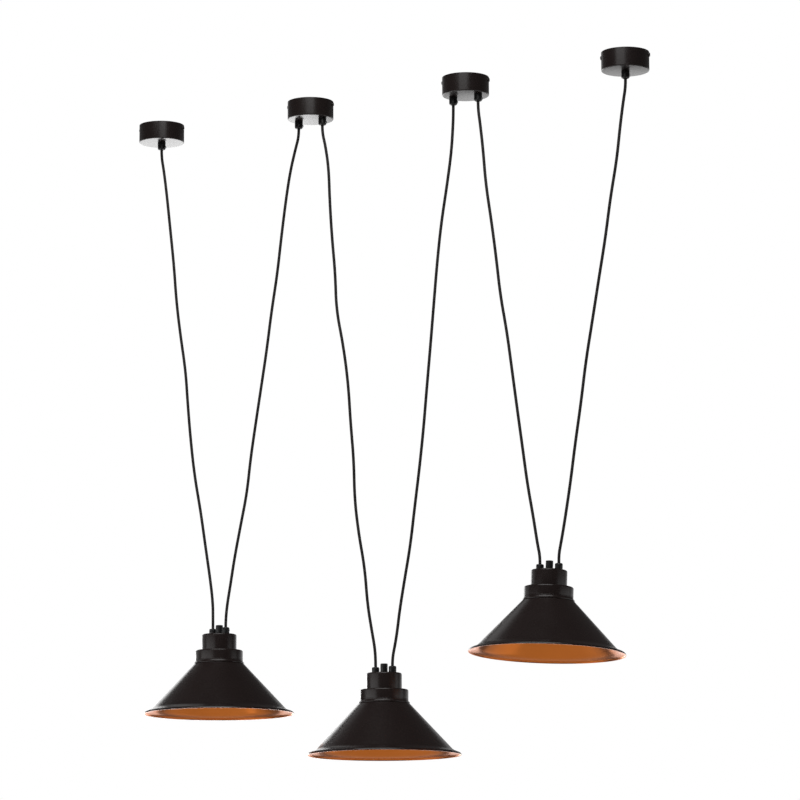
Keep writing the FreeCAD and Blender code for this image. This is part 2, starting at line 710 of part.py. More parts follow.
def build():
    nodes = {}
    canopies = range(1, len(canopy_x) + 1)
    for canopy in canopies:
        places = grip_places(canopy)
        grip = turn_about_z(cord_grip(canopy_grip_diameter, canopy_grip_length), -clamp_screw_turn)
        nodes[f"canopy_cup_{canopy}"] = canopy_cup(canopy)
        nodes[f"ceiling_bracket_{canopy}"] = ceiling_bracket(canopy)
        nodes[f"canopy_grips_{canopy}"] = Part.makeCompound(
            [under_canopy(grip, canopy, place) for place in places])
    nut = hex_nut(stem_radius + thread_clearance, -canopy_wall)
    grub = turn_about_z(clamp_screw(canopy_grip_diameter, canopy_grip_length), -clamp_screw_turn)
    all_places = [(canopy, place) for canopy in canopies for place in grip_places(canopy)]
    nodes["grip_lock_nuts"] = Part.makeCompound(
        [under_canopy(nut, canopy, place) for canopy, place in all_places])
    nodes["grip_clamp_screws"] = Part.makeCompound(
        [under_canopy(grub, canopy, place) for canopy, place in all_places])
    nodes["canopy_cord_ends"] = Part.makeCompound(
        [canopy_cord_end(canopy, place) for canopy, place in all_places])
    nodes["canopy_screws"] = Part.makeCompound(
        [part for canopy in canopies for part in canopy_screws(canopy)])
    nodes["terminal_blocks"] = Part.makeCompound([terminal_block(canopy) for canopy in canopies])
    for name, points in cords.items():
        nodes[name] = cord(name, points)
    lamp_parts = {
        "upper_housing": upper_housing(), "lower_housing": lower_housing(),
        "shade_washer": shade_washer(), "shade": shade(), "centre_cap": centre_cap(),
        "lamp_grips": lamp_grips(), "lamp_fixings": fixings(),
        "lampholder_shell": lampholder_shell(), "lampholder_insert": lampholder_insert(),
        "lampholder_contacts": lampholder_contacts(), "shade_ring": shade_ring(),
        "lamp_cord_ends": lamp_cord_ends(),
    }
    for lamp in lamps:
        for part, shape in lamp_parts.items():
            placed = shape.copy()
            placed.Placement = lamp_placement(lamp).multiply(placed.Placement)
            nodes[f"{part}_{lamp}"] = placed
    return nodes


os.makedirs("parts", exist_ok=True)
for name, shape in build().items():
    if not shape.isValid():
        print("not valid:", name)
    shape.exportStep(f"parts/{name}.step")
print("built")
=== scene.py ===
"""A row of three cone pendants on looped cords: turned shapes, finishes, cords, light, camera."""

import json
import math

import bmesh
import bpy
import numpy as np
from mathutils import Matrix, Vector


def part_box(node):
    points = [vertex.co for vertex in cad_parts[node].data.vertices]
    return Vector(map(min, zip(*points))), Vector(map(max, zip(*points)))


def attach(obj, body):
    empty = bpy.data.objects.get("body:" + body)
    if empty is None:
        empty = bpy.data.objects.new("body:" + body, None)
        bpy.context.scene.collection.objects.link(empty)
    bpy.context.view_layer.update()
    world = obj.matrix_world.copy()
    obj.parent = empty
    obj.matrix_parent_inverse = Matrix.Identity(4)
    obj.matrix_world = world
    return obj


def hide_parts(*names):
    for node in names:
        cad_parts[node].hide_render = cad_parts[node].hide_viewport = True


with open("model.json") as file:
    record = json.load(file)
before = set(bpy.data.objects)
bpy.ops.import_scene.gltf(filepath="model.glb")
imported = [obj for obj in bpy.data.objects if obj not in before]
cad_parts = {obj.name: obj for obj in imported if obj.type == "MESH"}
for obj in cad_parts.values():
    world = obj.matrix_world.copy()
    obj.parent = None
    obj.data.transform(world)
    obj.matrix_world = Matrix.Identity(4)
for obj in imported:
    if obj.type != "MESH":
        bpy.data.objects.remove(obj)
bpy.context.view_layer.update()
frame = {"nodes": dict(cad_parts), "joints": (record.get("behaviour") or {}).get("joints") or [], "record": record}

# Sizes in metres. Heights on a lamp are measured from the mouths of its grips.
CORD_DIAMETER = 0.005
GRIP_BORE = 0.0056
GRIP_BORE_BEND = 0.0004
GRIP_STEM = 0.010
GRIP_STEM_LENGTH = 0.009
CANOPY_GRIP_DIAMETER = 0.014
CANOPY_GRIP_LENGTH = 0.0132
CANOPY_GRIP_BEND = 0.0034
LAMP_GRIP_DIAMETER = 0.013
LAMP_GRIP_LENGTH = 0.011
LAMP_GRIP_BEND = 0.0022
LAMP_GRIP_SPACING = 0.036
TWIN_GRIP_SPACING = 0.0495
EDGE_BEND = 0.0003
TIGHTEST_BEND = 0.0002

CANOPY_DIAMETER = 0.080
CANOPY_HEIGHT = 0.0315
CANOPY_WALL = 0.0012
CANOPY_BEND = 0.0016

CAP_DIAMETER = 0.0125
CAP_TOP = 0.005
CAP_BEND = 0.001
CAP_HOLE = 0.0101
CAP_HOLE_TOP = -0.003
HOUSING_WALL = 0.0012
UPPER_DIAMETER = 0.060
UPPER_TOP = -0.011
UPPER_BEND = 0.0026
LOWER_DIAMETER = 0.082
LOWER_HOLE = 0.0465
LOWER_TOP = -0.039
LOWER_BEND = 0.0024

# The washer's flare and foot are measured up from the shade's top.
WASHER_DIAMETER = 0.087
WASHER_BORE = 0.077
WASHER_TOP = -0.0555
WASHER_MIDDLE = -0.06
WASHER_EDGE_BEND = 0.0005
WASHER_FLARE = 0.0032
WASHER_FLARE_BEND = 0.004
WASHER_FOOT = 0.0012
WASHER_FOOT_BEND = 0.0002

SHADE_WALL = 0.001
SHADE_HOLE = 0.0401
SHADE_TOP = -0.062
SHADE_NECK_DIAMETER = 0.085
SHADE_NECK_BEND = 0.0025
SHADE_CONE_DIAMETER = 0.2343
SHADE_CONE_FOOT = -0.1417
SHADE_CONE_BEND = 0.020
SHADE_DIAMETER = 0.260
SHADE_LIP_EDGE = -0.1464
SHADE_LIP_BEND = 0.004
SHADE_RIM = -0.1495

SCREW_SHELL_DIAMETER = 0.0286
SCREW_SHELL_BORE = 0.027
SCREW_SHELL_TOP = -0.054
SCREW_SHELL_BOTTOM = -0.0855
SCREW_SHELL_SHOULDER = 0.001
FLANGE_BORE = 0.018
FLANGE_WALL = 0.0008
SKIRT_DIAMETER = 0.0396
SKIRT_WALL = 0.0006
SKIRT_THREAD_TOP = -0.0705
SKIRT_THREAD_BOTTOM = -0.0868

# Threads: pitch, depth outwards, and the length in which they fade out at each end
SCREW_SHELL_THREAD = (0.0036, -0.00045, 0.003)
SKIRT_THREAD = (0.0025, 0.00035, 0.0015)

# Contact in the middle of a screw shell: radius, height and bend of its profile's corners
CENTRE_CONTACT = [
    (0, -0.0558), (0.0030, -0.0557, 0.002), (0.0045, -0.0548, 0.0003), (0.0045, -0.054),
    (0.0014, -0.054), (0.0014, -0.048), (0.0025, -0.048), (0.0025, -0.047, 0.0005),
    (0, -0.047)]

# Points on each bend of a profile, the angle past which an edge stays sharp, how near two points
# are one, and how short an edge is none
BEND_STEPS = 8
SHARP_ANGLE = math.radians(40.0)
SAME_POINT = 1e-7
NO_EDGE = 1e-8

CANOPIES = [np.array(mount["pos_m"]) for mount in frame["record"]["mounts"]
            if mount["name"].startswith("ceiling_holes")]
JOINTS = {joint["name"]: joint for joint in frame["joints"]}
LAMPS = ("a", "b", "c")

# Control points of the free cords, from a canopy's grip down to a lamp's grip. The first two and
# the last two of each are its short straight exits from the grips.
CORDS = {
    "cord_1_a": [
        (0, 0, -0.0447), (0, 0, -0.0585), (0.005, 0, -0.082), (0.012, 0, -0.128),
        (0.0205, 0, -0.195), (0.029, 0, -0.262), (0.0345, 0, -0.325), (0.044, 0, -0.388),
        (0.0555, 0, -0.452), (0.0605, 0, -0.512), (0.0665, 0.0005, -0.574),
        (0.075, 0.0012, -0.64), (0.088, 0.0022, -0.705), (0.0975, 0.0032, -0.765),
        (0.107, 0.0042, -0.822), (0.113, 0.0049, -0.866), (0.1131, 0.0053, -0.8985),
        (0.1131, 0.0053, -0.9123)],
    "cord_2_a": [
        (0.29575, 0, -0.0447), (0.29575, 0, -0.0585), (0.289, 0, -0.079), (0.2775, 0, -0.12),
        (0.2685, 0, -0.17), (0.259, 0, -0.235), (0.2505, 0, -0.3), (0.2385, 0, -0.365),
        (0.229, 0, -0.43), (0.217, 0, -0.497), (0.2055, -0.0003, -0.562),
        (0.1955, -0.0008, -0.622), (0.189, -0.0017, -0.68), (0.176, -0.0027, -0.738),
        (0.164, -0.0038, -0.795), (0.1565, -0.0046, -0.84), (0.1505, -0.0051, -0.872),
        (0.1475, -0.0053, -0.8985), (0.1475, -0.0053, -0.9123)],
    "cord_2_b": [
        (0.34525, 0, -0.0447), (0.34525, 0, -0.0585), (0.3515, 0, -0.081), (0.3585, 0, -0.124),
        (0.3605, 0, -0.18), (0.365, 0, -0.245), (0.372, 0, -0.312), (0.374, 0, -0.375),
        (0.3885, 0, -0.44), (0.3985, 0, -0.508), (0.403, 0, -0.575), (0.4095, 0, -0.64),
        (0.411, 0, -0.708), (0.419, 0.0003, -0.768), (0.431, 0.0007, -0.828),
        (0.436, 0.0011, -0.89), (0.4445, 0.0014, -0.936), (0.45, 0.0015, -0.963),
        (0.4518, 0.0016, -0.9841), (0.4518, 0.0016, -0.9979)],
    "cord_3_b": [
        (0.61345, 0, -0.0447), (0.61345, 0, -0.0585), (0.6125, 0, -0.082), (0.609, 0, -0.127),
        (0.5995, 0, -0.185), (0.5875, 0, -0.25), (0.579, 0, -0.318), (0.572, 0, -0.388),
        (0.565, 0, -0.458), (0.5575, 0, -0.528), (0.5505, 0, -0.598), (0.542, 0, -0.665),
        (0.532, 0, -0.732), (0.5235, -0.0003, -0.795), (0.5115, -0.0008, -0.855),
        (0.502, -0.0012, -0.905), (0.4975, -0.0014, -0.938), (0.493, -0.0016, -0.962),
        (0.4876, -0.0016, -0.9841), (0.4876, -0.0016, -0.9979)],
    "cord_3_c": [
        (0.66295, 0, -0.0447), (0.66295, 0, -0.0585), (0.6665, 0, -0.082), (0.672, 0, -0.128),
        (0.677, 0, -0.19), (0.6875, 0, -0.255), (0.6965, 0, -0.32), (0.704, 0, -0.385),
        (0.7165, 0, -0.45), (0.726, 0, -0.518), (0.7355, 0, -0.585), (0.745, 0, -0.65),
        (0.7535, 0, -0.71), (0.7635, 0, -0.762), (0.769, 0, -0.795), (0.7725, 0, -0.815),
        (0.7762, 0, -0.8316), (0.7762, 0, -0.8454)],
    "cord_4_c": [
        (0.9495, 0, -0.0447), (0.9495, 0, -0.0585), (0.945, 0, -0.081), (0.938, 0, -0.125),
        (0.931, 0, -0.18), (0.918, 0, -0.243), (0.9075, 0, -0.31), (0.894, 0, -0.378),
        (0.881, 0, -0.446), (0.8675, 0, -0.514), (0.8575, 0, -0.582), (0.8455, 0, -0.65),
        (0.836, 0, -0.712), (0.8265, 0, -0.764), (0.82, 0, -0.797), (0.8155, 0, -0.817),
        (0.8122, 0, -0.8322), (0.8122, 0, -0.846)],
}


# Shader maths

class Term:
    """A socket's output that Python's operators combine through Math nodes."""

    def __init__(self, shader, socket):
        self.shader = shader
        self.socket = socket

    def _with(self, operation, *terms):
        return self.shader.node("ShaderNodeMath", {"operation": operation}, dict(enumerate(terms)))

    def __add__(self, other):
        return self._with("ADD", self, other)

    def __sub__(self, other):
        return self._with("SUBTRACT", self, other)

    def __rsub__(self, other):
        return self._with("SUBTRACT", other, self)

    def __mul__(self, other):
        return self._with("MULTIPLY", self, other)

    def __gt__(self, other):
        return self._with("GREATER_THAN", self, other)

    __radd__ = __add__
    __rmul__ = __mul__

    def at_least(self, other):
        return self._with("MAXIMUM", self, other)


class Shader:
    """A material's or the world's node tree."""

    def __init__(self, owner):
        owner.use_nodes = True
        self.tree = owner.node_tree
        self.tree.nodes.clear()

    def node(self, kind, settings=None, inputs=None, output=0):
        """Adds a node: its settings come first, then its sockets' values or links. Returns one
        output as a Term, or the node itself where output is None."""
        added = self.tree.nodes.new(kind)
        for key, value in (settings or {}).items():
            setattr(added, key, value)
        for key, value in (inputs or {}).items():
            socket = added.inputs[key]
            if isinstance(value, Term):
                self.tree.links.new(value.socket, socket)
            else:
                socket.default_value = value
        return added if output is None else Term(self, added.outputs[output])

    def coordinates(self, output="Object"):
        """Places on a piece in metres, or another output of the same node."""
        return self.node("ShaderNodeTexCoord", output=output)

    def noise(self, per_metre, detail=2.0, roughness=0.5, vector=None):
        """Noise from 0 to 1 whose grains come so many to the metre."""
        return self.node("ShaderNodeTexNoise", inputs={
            "Vector": vector or self.coordinates(), "Scale": per_metre, "Detail": detail,
            "Roughness": roughness})

    def mix(self, factor, first, second):
        """Mix of two colours, which are the node's sockets 6 and 7 and its output 2."""
        return self.node("ShaderNodeMix", {"data_type": "RGBA"},
                         {"Factor": factor, 6: first, 7: second}, output=2)

    def bump(self, height, strength, depth):
        """Normals of bumps that are as deep as the depth, in metres, at full strength."""
        return self.node("ShaderNodeBump", inputs={
            "Height": height, "Strength": strength, "Distance": depth})

    def fade(self, value, start, end, first=0.0, last=1.0):
        """Goes smoothly from first to last as the value goes from start to end."""
        return self.node("ShaderNodeMapRange", {"interpolation_type": "SMOOTHSTEP"},
                         {"Value": value, "From Min": start, "From Max": end,
                          "To Min": first, "To Max": last})


# Finishes

# Each material's two tones. Its noise leads from the first to the second.
TONES = {
    "satin_black": ((0.0125, 0.0078, 0.0072, 1), (0.0165, 0.0112, 0.0102, 1)),
    "satin_brown_black": ((0.0135, 0.0072, 0.0064, 1), (0.0180, 0.0106, 0.0096, 1)),
    "copper_inside": ((0.54, 0.147, 0.025, 1), (0.71, 0.206, 0.038, 1)),
    "black_nylon": ((0.006, 0.006, 0.006, 1), (0.010, 0.0095, 0.0095, 1)),
    "cord_jacket": ((0.013, 0.0112, 0.0108, 1), (0.021, 0.0185, 0.018, 1)),
    "zinc_plating": ((0.46, 0.47, 0.50, 1), (0.68, 0.68, 0.66, 1)),
    "pressed_brass": ((0.52, 0.34, 0.11, 1), (0.82, 0.60, 0.26, 1)),
    "porcelain": ((0.80, 0.78, 0.73, 1), (0.62, 0.59, 0.54, 1)),
    "white_nylon": ((0.66, 0.65, 0.61, 1), (0.78, 0.77, 0.74, 1)),
}


def surface(name):
    """Starts a material and returns it with its shader; principled ends it."""
    material = bpy.data.materials.new(name)
    return material, Shader(material)


def principled(shader, sockets):
    """Ends a material in one Principled shader."""
    body = shader.node("ShaderNodeBsdfPrincipled", inputs=sockets)
    shader.node("ShaderNodeOutputMaterial", inputs={"Surface": body}, output=None)


def satin_paint(name):
    """Sprayed satin paint: a faint cloudiness, and the fine grain of a baked powder coat."""
    material, shader = surface(name)
    cloud = shader.noise(18.0, detail=3.0)
    speck = shader.noise(1500.0, roughness=0.6)
    grain = shader.noise(900.0, detail=3.0, roughness=0.6)
    principled(shader, {
        "Base Color": shader.mix(cloud, *TONES[name]),
        "Roughness": 0.27 + 0.10 * (cloud - 0.5) + 0.06 * (speck - 0.5),
        "Normal": shader.bump(grain, 0.25, 0.00012),
        "IOR": 1.5,
    })
    return material


def copper_spinning(name):
    """Copper paint inside a shade, over the faint rings that spinning leaves in the sheet. The
    rings follow the V of the shade's UV, which is the length along its profile."""
    material, shader = surface(name)
    along = shader.node("ShaderNodeSeparateXYZ", inputs={0: shader.coordinates("UV")}, output=1)
    ring_place = shader.node("ShaderNodeCombineXYZ", inputs={2: along})
    rings = shader.noise(1400.0, detail=3.0, roughness=0.7, vector=ring_place)
    wide_rings = shader.noise(160.0, vector=ring_place)
    cloud = shader.noise(14.0, detail=3.0)
    fleck = shader.noise(2600.0, roughness=0.7)
    tone = 0.6 * cloud + 0.25 * wide_rings + 0.15 * fleck
    principled(shader, {
        "Base Color": shader.mix(tone, *TONES[name]),
        "Metallic": 1.0,
        "Roughness": 0.2 + 0.08 * (wide_rings - 0.5) + 0.06 * (fleck - 0.5),
        "Normal": shader.bump(0.7 * rings + 0.3 * fleck, 0.2, 0.0001),
    })
    return material


def moulded_plastic(name, roughness):
    """Moulded plastic with a fine spark-eroded grain."""
    material, shader = surface(name)
    cloud = shader.noise(90.0)
    grain = shader.noise(2400.0, roughness=0.6)
    principled(shader, {
        "Base Color": shader.mix(cloud, *TONES[name]),
        "Roughness": roughness + 0.12 * (grain - 0.5),
        "Normal": shader.bump(grain, 0.2, 0.00005),
    })
    return material


def cord_jacket(name):
    """Smooth drawn cord: faint unevenness along it, and a soft sheen."""
    material, shader = surface(name)
    drift = shader.noise(35.0)
    fine = shader.noise(260.0)
    principled(shader, {
        "Base Color": shader.mix(drift, *TONES[name]),
        "Roughness": 0.6 + 0.12 * (fine - 0.5),
        "Specular IOR Level": 0.3,
        "Normal": shader.bump(fine, 0.1, 0.0001),
    })
    return material


def plated_steel(name):
    """Zinc-plated steel with the cloudy spangle of its plating and fine drawing marks."""
    material, shader = surface(name)
    cloud = shader.noise(160.0, detail=3.0, roughness=0.6)
    marks = shader.noise(1800.0, detail=3.0, roughness=0.7)
    principled(shader, {
        "Base Color": shader.mix(cloud, *TONES[name]),
        "Metallic": 1.0,
        "Roughness": 0.30 + 0.18 * (cloud - 0.5) + 0.12 * (marks - 0.5),
        "Normal": shader.bump(marks, 0.15, 0.00005),
    })
    return material


def drawn_brass(name):
    """Pressed brass, darker where it is tarnished."""
    material, shader = surface(name)
    tarnish = shader.noise(120.0, detail=3.0, roughness=0.6)
    marks = shader.noise(1600.0, roughness=0.6)
    principled(shader, {
        "Base Color": shader.mix(tarnish, *TONES[name]),
        "Metallic": 1.0,
        "Roughness": 0.28 + 0.16 * (tarnish - 0.5),
        "Normal": shader.bump(marks, 0.1, 0.00005),
    })
    return material


def glazed_porcelain(name):
    """White porcelain with a soft glaze and pinhole specks."""
    material, shader = surface(name)
    cloud = shader.noise(60.0, detail=3.0)
    specks = shader.noise(900.0) > 0.72
    principled(shader, {
        "Base Color": shader.mix(0.7 * cloud + 0.3 * specks, *TONES[name]),
        "Roughness": 0.32 + 0.15 * (cloud - 0.5),
        "Normal": shader.bump(cloud, 0.15, 0.0002),
    })
    return material


FINISHES = {
    "black_metal": satin_paint("satin_black"),
    "shade_black": satin_paint("satin_brown_black"),
    "copper": copper_spinning("copper_inside"),
    "black_plastic": moulded_plastic("black_nylon", 0.36),
    "cord_jacket": cord_jacket("cord_jacket"),
    "zinc_steel": plated_steel("zinc_plating"),
    "brass": drawn_brass("pressed_brass"),
    "porcelain": glazed_porcelain("porcelain"),
    "block_plastic": moulded_plastic("white_nylon", 0.45),
}


# Turned shapes

def rounded(corners):
    """Points of a profile given by corners (radius, height) or (radius, height, bend). A corner
    with a bend becomes an arc tangent to both its sides: its centre lies on the bisector, and
    the arc's points are the centre plus a radius that turns evenly from one tangent point to
    the other."""
    places = np.array([corner[:2] for corner in corners], float)
    points = []
    for i, corner in enumerate(corners):
        bend = corner[2] if len(corner) > 2 else 0.0
        if not bend or i in (0, len(corners) - 1):
            points.append(places[i][None])
            continue
        before = places[i - 1] - places[i]
        after = places[i + 1] - places[i]
        before /= np.linalg.norm(before)
        after /= np.linalg.norm(after)
        half = math.acos(float(np.clip(before @ after, -1, 1))) / 2
        bisector = (before + after) / np.linalg.norm(before + after)
        centre = places[i] + bisector * bend / math.sin(half)
        start = places[i] + before * bend / math.tan(half) - centre
        end = places[i] + after * bend / math.tan(half) - centre
        sweep = math.atan2(start[0] * end[1] - start[1] * end[0], start @ end)
        turn = np.linspace(0, sweep, BEND_STEPS)[:, None]
        across = np.array([-start[1], start[0]])
        points.append(centre + start * np.cos(turn) + across * np.sin(turn))
    return np.concatenate(points)


def sheet_profile(corners, wall):
    """Profiles of both faces of spun sheet: the corners are one face, and the other face is the
    same line moved by the wall to the right of its way, with each bend larger or smaller by the
    wall. Joined end to end, the two are closed."""
    places = np.array([corner[:2] for corner in corners], float)
    bends = [corner[2] if len(corner) > 2 else 0.0 for corner in corners]
    steps = np.diff(places, axis=0)
    steps /= np.linalg.norm(steps, axis=1)[:, None]
    normals = np.stack([steps[:, 1], -steps[:, 0]], 1)
    first = np.vstack([normals[:1], normals])
    second = np.vstack([normals, normals[-1:]])
    moved = places + (first + second) * wall / (1 + np.sum(first * second, 1))[:, None]
    back = []
    for i, bend in enumerate(bends):
        if bend:
            towards = steps[i] @ first[i] > 0
            bend = max(bend - wall, TIGHTEST_BEND) if towards else bend + wall
        back.append((*moved[i], bend))
    return rounded(corners), rounded(back[::-1])


def grid_faces(rows, columns):
    """Quads of a grid whose rows follow a closed profile and whose columns go round the axis."""
    row = np.arange(rows)[:, None]
    column = np.arange(columns)[None, :]
    below, right = (row + 1) % rows, (column + 1) % columns
    corners = [row * columns + column, below * columns + column,
               below * columns + right, row * columns + right]
    return np.stack([np.broadcast_to(c, (rows, columns)).ravel() for c in corners], 1)


def add_piece(name, points, faces, uv, finishes, slots):
    """Makes a mesh object at the origin, with smooth shading between its sharp edges."""
    mesh = bpy.data.meshes.new(name)
    mesh.from_pydata(points.tolist(), [], faces.tolist())
    layer = mesh.uv_layers.new(name="UVMap")
    loops = np.empty(len(mesh.loops), int)
    mesh.loops.foreach_get("vertex_index", loops)
    layer.data.foreach_set("uv", uv[loops].ravel())
    if slots is not None:
        mesh.polygons.foreach_set("material_index", slots)
    for finish in finishes:
        mesh.materials.append(FINISHES[finish])
    mesh.shade_smooth()
    mesh.set_sharp_from_angle(angle=SHARP_ANGLE)
    piece = bpy.data.objects.new(name, mesh)
    bpy.context.collection.objects.link(piece)
    return piece


def close_poles(piece):
    """Merges the points that a profile leaves on its axis and drops the faces that vanish."""
    mesh = bmesh.new()
    mesh.from_mesh(piece.data)
    bmesh.ops.remove_doubles(mesh, verts=mesh.verts, dist=SAME_POINT)
    bmesh.ops.dissolve_degenerate(mesh, edges=mesh.edges, dist=NO_EDGE)
    bmesh.ops.recalc_face_normals(mesh, faces=mesh.faces)
    mesh.to_mesh(piece.data)
    mesh.free()


def turned(name, profile, place, body, finishes, columns, slots=None, ripple=None):
    """Surface of revolution. Each point of the closed profile (radius, height) goes round the
    axis as (radius cos angle, radius sin angle, height), then through place into the row's
    frame. ripple(angle, height) adds to the radius. The UV's U is the angle in turns, and its V
    is the length along the profile in metres."""
    angle = np.linspace(0, 2 * math.pi, columns, endpoint=False)
    radius = profile[:, :1] + np.zeros_like(angle)
    height = profile[:, 1:] + np.zeros_like(angle)
    if ripple is not None:
        radius = radius + ripple(angle[None, :], height)
    points = np.stack([radius * np.cos(angle), radius * np.sin(angle), height], 2)
    steps = np.linalg.norm(np.diff(profile, axis=0), axis=1)
    along = np.concatenate([[0.0], np.cumsum(steps)])
    uv = np.stack(np.broadcast_arrays(angle / (2 * math.pi), along[:, None]), 2).reshape(-1, 2)
    faces = grid_faces(len(profile), columns)
    face_slots = None if slots is None else np.repeat(slots, columns)
    piece = add_piece(name, place(points.reshape(-1, 3)), faces, uv, finishes, face_slots)
    close_poles(piece)
    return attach(piece, body)


def sleeve(outer, inner, top, bottom, rows):
    """Profile of a straight sleeve: rows of points down its outer face and up its inner face."""
    heights = np.linspace(top, bottom, rows)
    return np.concatenate([np.stack([np.full(rows, outer), heights], 1),
                           np.stack([np.full(rows, inner), heights[::-1]], 1)])


def thread(top, bottom, pitch, depth, fade):
    """Ripple of a radius that makes a thread from top to bottom: the depth times half of one
    plus a cosine, whose crest climbs one pitch in each turn. It fades out at both ends."""
    def ripple(angle, height):
        from_end = np.minimum(top - height, height - bottom)
        wave = 0.5 + 0.5 * np.cos(2 * math.pi * height / pitch - angle)
        return depth * np.clip(from_end / fade, 0, 1) * wave
    return ripple


# Where the pieces go, and what they replace

def at_canopy(number, offset=0.0):
    """Places points drawn about a canopy's own middle line, moved along the row by the offset."""
    centre = CANOPIES[number - 1] + np.array([offset, 0, 0])
    return lambda points: points + centre


def on_lamp(lamp, offset=0.0):
    """Places points drawn in a lamp's own frame: its origin midway between the grips' mouths, X
    through both mouths as the lamp's tilt joint has it, and Z up its bulb socket's axis."""
    joint = JOINTS[f"tilt_{lamp}"]
    socket = next(m for m in frame["record"]["mounts"] if m["name"] == f"bulb_socket_{lamp}")
    along = np.array(joint["axis"])
    up = -np.array(socket["axis"])
    axes = np.stack([along, np.cross(up, along), up])
    centre = np.array(joint["pos_m"])
    return lambda points: (points + np.array([offset, 0, 0])) @ axes + centre


def frame_slot(node):
    """Name of the finish that the record gives to a node."""
    return next(part["material_slot"] for part in frame["record"]["subparts"]
                if part["node"] == node)


def lamp_piece(node, profile, lamp, finishes, offset=0.0, suffix="turned", **options):
    """Turned piece that rides on a lamp and replaces its CAD node."""
    piece = turned(f"{node}_{suffix}", profile, on_lamp(lamp, offset), f"lamp_{lamp}",
                   finishes, **options)
    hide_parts(node)


# Ceiling canopies

def canopy_cup(number):
    """Spun cup with its mouth to the ceiling: a flat bottom that bends up into a straight side."""
    radius = CANOPY_DIAMETER / 2
    outer, inner = sheet_profile([
        (radius, 0), (radius, -CANOPY_HEIGHT, CANOPY_BEND), (0, -CANOPY_HEIGHT)], CANOPY_WALL)
    name = f"canopy_cup_{number}"
    cup = turned(f"{name}_spun", np.concatenate([outer, inner]), at_canopy(number), "canopies",
                 ["black_metal"], columns=160)
    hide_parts(name)


def grip_profile(diameter, length, mouth_bend):
    """Outline of a cord grip about its bore, its mouth at height 0 and its stem below. It starts
    and ends half way up the bore."""
    bore, outer, stem = GRIP_BORE / 2, diameter / 2, GRIP_STEM / 2
    foot = -length - GRIP_STEM_LENGTH
    return rounded([
        (bore, -length / 2), (bore, 0, GRIP_BORE_BEND), (outer, 0, mouth_bend),
        (outer, -length, EDGE_BEND), (stem, -length), (stem, foot), (bore, foot),
        (bore, -length / 2)])[:-1]


def canopy_grips(number):
    """Grips under a canopy, mouths down: one on an end canopy and two on a middle one."""
    node = f"canopy_grips_{number}"
    low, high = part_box(node)
    single = high[0] - low[0] < TWIN_GRIP_SPACING
    offsets = [0.0] if single else [-TWIN_GRIP_SPACING / 2, TWIN_GRIP_SPACING / 2]
    profile = grip_profile(CANOPY_GRIP_DIAMETER, CANOPY_GRIP_LENGTH, CANOPY_GRIP_BEND) * [1, -1]
    profile[:, 1] -= CANOPY_HEIGHT + CANOPY_GRIP_LENGTH
    for side, offset in zip(("left", "right"), offsets):
        grip = turned(f"{node}_{side}", profile, at_canopy(number, offset), "canopies",
                      ["black_plastic"], columns=64)
        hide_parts(node)


# Lamps

def shade(lamp):
    """Spun cone with a flat top and a turned-out lip, black outside and copper inside."""
    outer, inner = sheet_profile([
        (SHADE_HOLE / 2, SHADE_TOP), (SHADE_NECK_DIAMETER / 2, SHADE_TOP, SHADE_NECK_BEND),
        (SHADE_CONE_DIAMETER / 2, SHADE_CONE_FOOT, SHADE_CONE_BEND),
        (SHADE_DIAMETER / 2, SHADE_LIP_EDGE, SHADE_LIP_BEND), (SHADE_DIAMETER / 2, SHADE_RIM)],
        SHADE_WALL)
    profile = np.concatenate([outer, inner])
    copper_rows = np.arange(len(profile)) >= len(outer) - 1
    lamp_piece(f"shade_{lamp}", profile, lamp, ["shade_black", "copper"],
               columns=360, slots=copper_rows.astype(int))


def shade_washer(lamp):
    """Ring between the lower housing and the shade, flared at its foot. Its outline starts half
    way up the bore."""
    bore, side, foot = WASHER_BORE / 2, LOWER_DIAMETER / 2, WASHER_DIAMETER / 2
    lamp_piece(f"shade_washer_{lamp}", rounded([
        (bore, WASHER_MIDDLE), (bore, WASHER_TOP, EDGE_BEND),
        (side, WASHER_TOP, WASHER_EDGE_BEND),
        (side, SHADE_TOP + WASHER_FLARE, WASHER_FLARE_BEND),
        (foot, SHADE_TOP + WASHER_FOOT, WASHER_EDGE_BEND),
        (foot - WASHER_FOOT_BEND, SHADE_TOP, WASHER_FOOT_BEND), (bore, SHADE_TOP)]),
        lamp, ["shade_black"], columns=200)


def housings(lamp):
    """The wider lower housing and the narrow upper housing that stands on it."""
    lower = sheet_profile([
        (LOWER_HOLE / 2, LOWER_TOP), (LOWER_DIAMETER / 2, LOWER_TOP, LOWER_BEND),
        (LOWER_DIAMETER / 2, WASHER_TOP)], HOUSING_WALL)
    upper = sheet_profile([
        (0, UPPER_TOP), (UPPER_DIAMETER / 2, UPPER_TOP, UPPER_BEND),
        (UPPER_DIAMETER / 2, LOWER_TOP)], HOUSING_WALL)
    lamp_piece(f"lower_housing_{lamp}", np.concatenate(lower), lamp, ["shade_black"], columns=200)
    lamp_piece(f"upper_housing_{lamp}", np.concatenate(upper), lamp, ["shade_black"], columns=200)


def lamp_grips(lamp):
    """The two grips that stand on a lamp's upper housing, mouths up."""
    profile = grip_profile(LAMP_GRIP_DIAMETER, LAMP_GRIP_LENGTH, LAMP_GRIP_BEND)
    for side, offset in (("left", -LAMP_GRIP_SPACING / 2), ("right", LAMP_GRIP_SPACING / 2)):
        lamp_piece(f"lamp_grips_{lamp}", profile, lamp, ["black_plastic"], offset=offset,
                   suffix=side, columns=64)


